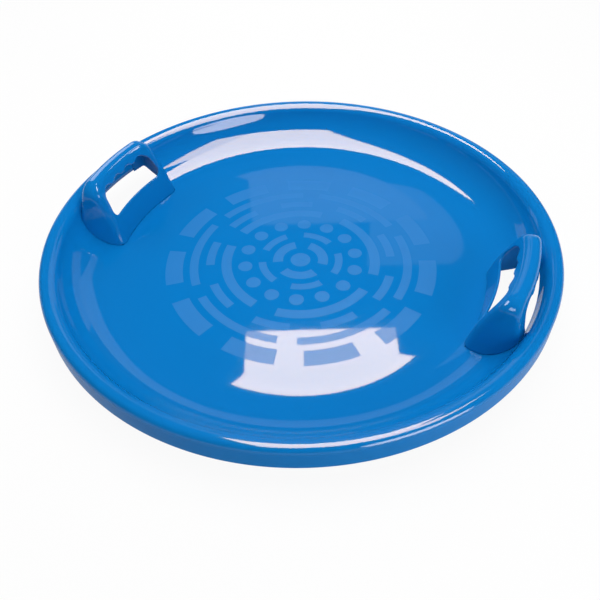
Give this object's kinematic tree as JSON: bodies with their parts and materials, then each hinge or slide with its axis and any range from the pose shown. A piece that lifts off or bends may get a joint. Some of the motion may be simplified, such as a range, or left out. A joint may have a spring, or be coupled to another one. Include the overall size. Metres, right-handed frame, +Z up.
{
  "type": "saucer sled",
  "caption": "Round moulded plastic sledging dish with a flat floor, a swept wall, a rolled rim with a skirt, and hollow hand grips that plug into the wall on either side.",
  "frame": {"origin": "on the dish's axis, in the plane of its underside", "axes": "+Z up along the dish's axis, +Y the way the rider faces, +X to the rider's right hand"},
  "size_m": [0.6, 0.6, 0.084],
  "materials": {
    "dish_plastic": "gloss blue moulding with a matte textured disc on the floor",
    "handle_plastic": "gloss blue moulding"
  },
  "bodies": {
    "root": {"dish": "dish_plastic", "right_handle": "handle_plastic", "left_handle": "handle_plastic"}
  },
  "joints": []
}
